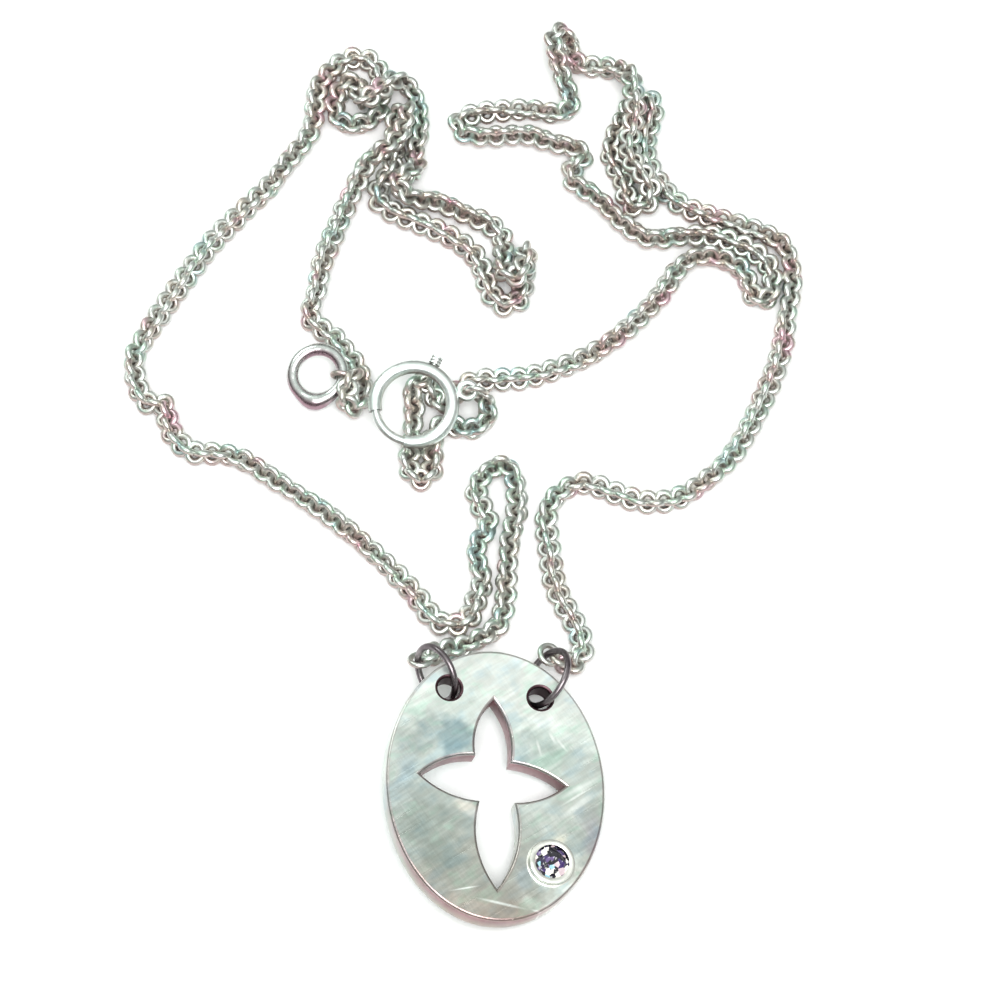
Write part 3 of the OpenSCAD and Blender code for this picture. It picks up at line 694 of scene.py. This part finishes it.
class Shell:
    """Collects faces with a normal for each corner."""

    def __init__(self):
        self.points, self.faces, self.normals = [], [], []
        self.painted_marks = {"wall": [], "bore": [], "bezel": []}

    def face(self, corners, wall=None, bore=0, bezel=0):
        """Adds a face of (point, normal) corners, with each one's painted wall shade and the face's other
        looks.
        """
        first = len(self.points)
        self.points += [point for point, normal in corners]
        self.normals += [normal for point, normal in corners]
        self.painted_marks["wall"] += wall or [0] * len(corners)
        self.painted_marks["bore"] += [bore] * len(corners)
        self.painted_marks["bezel"] += [bezel] * len(corners)
        self.faces.append(tuple(range(first, first + len(corners))))

    def piece(self, name, material, slot, body, place):
        mesh = bpy.data.meshes.new(name)
        turn = place.to_3x3()
        mesh.from_pydata([(place @ p) * MM for p in self.points], [], self.faces)
        for painted_mark, values in self.painted_marks.items():
            mesh.attributes.new(painted_mark, "FLOAT", "POINT").data.foreach_set("value", values)
        mesh.polygons.foreach_set("use_smooth", [True] * len(mesh.polygons))
        mesh.normals_split_custom_set([tuple((turn @ n).normalized()) for n in self.normals])
        return add_piece(name, mesh, material, body)


def left_of(a, b):
    along = (b - a).normalized()
    return Vector((-along.y, along.x))


def inset(outline, distance):
    """The outline moved to its left by a distance."""
    moved = []
    for i, point in enumerate(outline):
        before = left_of(outline[i - 1], point)
        after = left_of(point, outline[(i + 1) % len(outline)])
        moved.append(point + (before + after) * distance / max(0.5, 1 + before.dot(after)))
    return moved


def rim_shade(point, high):
    """The outer rim gets painted pinkish shade and reflection, most at the lower left and the bottom, and
    near the face.
    """
    away = math.atan2(point.x + 2, -point.y)
    return max(0.12, min(1, 1.25 - 0.75 * abs(away))) * max(0, min(1, 1.6 * high - 0.1))


def cross_shade(point, high):
    """The pierced cross's walls get painted shade above its middle, are left bright below it, and are
    darkest near the face.
    """
    return max(0.1, min(1, 0.8 + 0.6 * point.y)) * max(0.8, min(1, 1.5 * high))


def wall(shell, outline, painted_mark, bore=0):
    """The plate's wall along an outline that has the metal on its left, with both its edges rounded."""
    half = PLATE_T / 2
    least, most = EDGE_SHADE
    levels = []
    for k in range(EDGE_STEPS + 1):
        a = math.pi / 2 * k / EDGE_STEPS
        levels.append((EDGE_ROUND * (1 - math.sin(a)), half - EDGE_ROUND * (1 - math.cos(a)), a))
    levels += [(depth, -z, math.pi - a) for depth, z, a in reversed(levels)]
    rings = [inset(outline, depth) for depth, z, a in levels]
    count = len(outline)
    sides = [-left_of(outline[i], outline[(i + 1) % count]) for i in range(count)]
    for i in range(count):
        j = (i + 1) % count
        here = sides[i]
        start = (here + sides[i - 1]).normalized() if here.dot(sides[i - 1]) > SHARP_BELOW else here
        stop = (here + sides[j]).normalized() if here.dot(sides[j]) > SHARP_BELOW else here
        for k in range(len(levels) - 1):
            corners = []
            for level, index, out in ((k, i, start), (k + 1, i, start), (k + 1, j, stop), (k, j, stop)):
                depth, z, a = levels[level]
                point = rings[level][index]
                corners.append((Vector((point.x, point.y, z)),
                                Vector((out.x * math.sin(a), out.y * math.sin(a), math.cos(a)))))
            painted_shade = [painted_mark(point, point.z / PLATE_T + 0.5) for point, normal in corners]
            # The upper rounded edge's painted shade is held between a least and a most, and left off at the
            # face's own edge
            if k < EDGE_STEPS:
                painted_shade = [min(most, max(least, value)) if point.z < half else 0
                           for value, (point, normal) in zip(painted_shade, corners)]
            shell.face(corners, painted_shade, bore)


def flat_face(shell, outlines, z, up):
    """A flat face between outlines."""
    points = [Vector((p.x, p.y, z)) for outline in outlines for p in outline]
    normal = Vector((0, 0, up))
    for a, b, c in tessellate_polygon([[Vector((p.x, p.y, 0)) for p in outline] for outline in outlines]):
        turn = (points[b] - points[a]).cross(points[c] - points[a]).z
        corners = (a, b, c) if turn * up > 0 else (a, c, b)
        shell.face([(points[i], normal) for i in corners])


def turned(shell, centre, base, profile, sides):
    """A surface turned around a centre from (radius, height) points, smooth between its sharper corners."""
    normals = []
    for (r0, z0), (r1, z1) in zip(profile, profile[1:]):
        normals.append(Vector((z1 - z0, r0 - r1)).normalized())
    for k, normal in enumerate(normals):
        before, after = normals[max(0, k - 1)], normals[min(k + 1, len(normals) - 1)]
        low = before if normal.dot(before) > BEZEL_SHARP_BELOW else normal
        high = after if normal.dot(after) > BEZEL_SHARP_BELOW else normal
        low, high = (low + normal).normalized(), (high + normal).normalized()
        for i in range(sides):
            corners = []
            for (r, z), n, step in ((profile[k], low, i), (profile[k], low, i + 1),
                                    (profile[k + 1], high, i + 1), (profile[k + 1], high, i)):
                a = 2 * math.pi * step / sides
                c, s = math.cos(a), math.sin(a)
                corners.append((Vector((centre[0] + r * c, centre[1] + r * s, base + z)),
                                Vector((n.x * c, n.x * s, n.y))))
            shell.face(corners, bezel=1)


def plate_place():
    turn = Matrix.Rotation(math.radians(PLATE_TURN), 4, "Z")
    lean = Matrix.Rotation(math.radians(PLATE_LEAN), 4, "Y")
    pitch = Matrix.Rotation(math.radians(PLATE_PITCH), 4, "X")
    return Matrix.Translation(PLATE_CENTRE - MIDDLE) @ turn @ lean @ pitch


def make_plate(material):
    """The plate with its pierced cross, drilled holes and bezel."""
    outlines = [oval_outline((0, 0), PLATE_W, PLATE_H, OVAL_SIDES, 1), cross_outline()]
    outlines += [oval_outline(hole, HOLE_D, HOLE_D, HOLE_SIDES, -1) for hole in HOLES]
    shell = Shell()
    wall(shell, outlines[0], rim_shade)
    wall(shell, outlines[1], cross_shade)
    # The drilled holes' walls get full painted shade and the bore's dark colour
    for outline in outlines[2:]:
        wall(shell, outline, lambda point, high: 1, 1)
    rims = [inset(outline, EDGE_ROUND) for outline in outlines]
    seat = oval_outline(STONE_CENTRE, 2 * SEAT_R, 2 * SEAT_R, BEZEL_SIDES, -1)
    flat_face(shell, rims + [seat], PLATE_T / 2, 1)
    flat_face(shell, rims, -PLATE_T / 2, -1)
    r, top = BEZEL_D / 2, BEZEL_H
    foot = [(r + 0.12, 0), (r + 0.03, 0.03), (r, 0.12)]
    rim = [(r, top - 0.12), (r - 0.04, top - 0.03), (r - 0.12, top), (r - 0.25, top + 0.01)]
    lip = [(SEAT_R - 0.1, top - 0.03), (SEAT_R - 0.12, top - 0.08), (SEAT_R, 0.32)]
    seat_wall = [(SEAT_R, 0.16), (0.25, -0.87), (0, -0.87)]
    turned(shell, STONE_CENTRE, PLATE_T / 2, foot + rim + lip + seat_wall, BEZEL_SIDES)
    piece = shell.piece("pendant_plate_face", material, "brushed_silver", "necklace", plate_place())
    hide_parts("pendant_plate")


# End ring

def make_end_ring(material):
    """The plain ring, thicker where it is soldered shut."""
    points = []
    for i in range(END_RING_STEPS):
        a = 360 * i / END_RING_STEPS
        off = abs(a - SOLDER_AT)
        swell = SOLDER_SWELL * (1 + math.cos(math.pi * off / SOLDER_REACH)) / 2 if off < SOLDER_REACH else 0
        r = END_RING_WIRE / 2 + swell
        c, s = math.cos(math.radians(a)), math.sin(math.radians(a))
        for k in range(END_RING_SIDES):
            v = 2 * math.pi * k / END_RING_SIDES
            out = END_RING_D / 2 + swell + r * math.cos(v)
            points.append(Vector((out * c, out * s, r * math.sin(v))))
    shape = points, tube_faces(END_RING_STEPS, END_RING_SIDES), [0] * len(points)
    lean = Matrix.Rotation(math.radians(-END_RING_LEAN), 4, "Y")
    tilt = Matrix.Rotation(math.radians(END_RING_TILT), 4, "X")
    joined = Joined()
    joined.add(shape, Matrix.Translation(END_RING_CENTRE - MIDDLE) @ lean @ tilt)
    piece = joined.piece("end_ring_wire", material, "ring_silver", "necklace", RING_UNDERSIDE)
    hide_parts("end_ring")


# Floor and the pieces with their materials

def make_floor(material):
    mesh = bpy.data.meshes.new("floor")
    corners = [(x * FLOOR_HALF, y * FLOOR_HALF, 0) for x, y in ((-1, -1), (1, -1), (1, 1), (-1, 1))]
    mesh.from_pydata(corners, [], [(0, 1, 2, 3)])
    mesh.materials.append(material)
    floor = bpy.data.objects.new("floor", mesh)
    floor.location.z = -FLOOR_DROP
    bpy.context.scene.collection.objects.link(floor)


def dress(node, material):
    """A material on a node of the CAD model."""
    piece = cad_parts[node]
    piece.data.materials.clear()
    piece.data.materials.append(material)


make_camera()
make_lights()
make_floor(floor_white())
links = chain_silver()
chain_half("chain_left", LEFT_ROUTE, LINK_AT_LEFT_JUMP, LINK_AT_END_RING, 3, links)
chain_half("chain_right", RIGHT_ROUTE, LINK_AT_RIGHT_JUMP, LINK_AT_CLASP, 7, links)
jump_wire = wire_silver("jump_silver", (0.13, 0.11, 0.12), (0.26, 0.23, 0.24), (0.25, 0.4))
# The clasp gets painted dark shade on its shaded side
clasp_wire = wire_silver("clasp_silver", (0.80, 0.89, 0.85), (0.92, 0.96, 0.94), (0.3, 0.42),
                         shaded=CLASP_SHADED)
for node in ("jump_ring_left", "jump_ring_right"):
    dress(node, jump_wire)
for node in ("clasp_body", "clasp_gate"):
    dress(node, clasp_wire)
# The end ring gets painted pinkish-purple shade and reflection on its lower front side by its under
# attribute
make_end_ring(wire_silver("ring_silver", (0.62, 0.68, 0.65), (0.76, 0.80, 0.77), (0.2, 0.34),
                          under=(0.34, 0.22, 0.26)))
make_plate(plate_silver())
dress("stone", violet_stone())

bpy.context.scene.view_settings.view_transform = "Standard"
